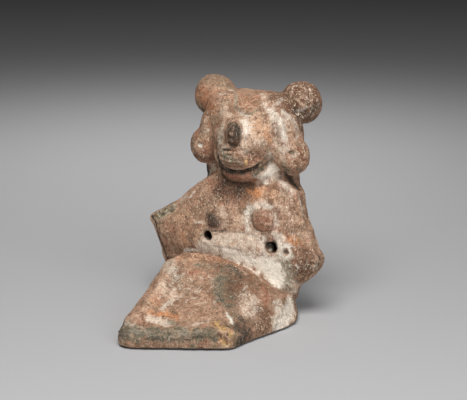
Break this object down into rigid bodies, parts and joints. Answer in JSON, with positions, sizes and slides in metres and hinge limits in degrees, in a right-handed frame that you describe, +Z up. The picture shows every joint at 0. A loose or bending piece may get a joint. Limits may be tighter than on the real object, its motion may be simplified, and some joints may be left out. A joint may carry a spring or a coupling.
{
  "type": "seated clay figurine",
  "caption": "Hand-modelled seated terracotta figurine with a round-eared stylised head, broken arms and a long wedge-shaped skirt.",
  "frame": {"origin": "on the flat underside, below the middle of the figurine's box", "axes": "+Z up; -Y is the way the figure faces, from its back to its toes; +X is the figure's own left"},
  "size_m": [0.081, 0.0884, 0.101],
  "materials": {
    "fired_clay": "matt, worn and speckled with pale lime"
  },
  "bodies": {
    "root": {"figurine": "fired_clay"}
  },
  "joints": []
}
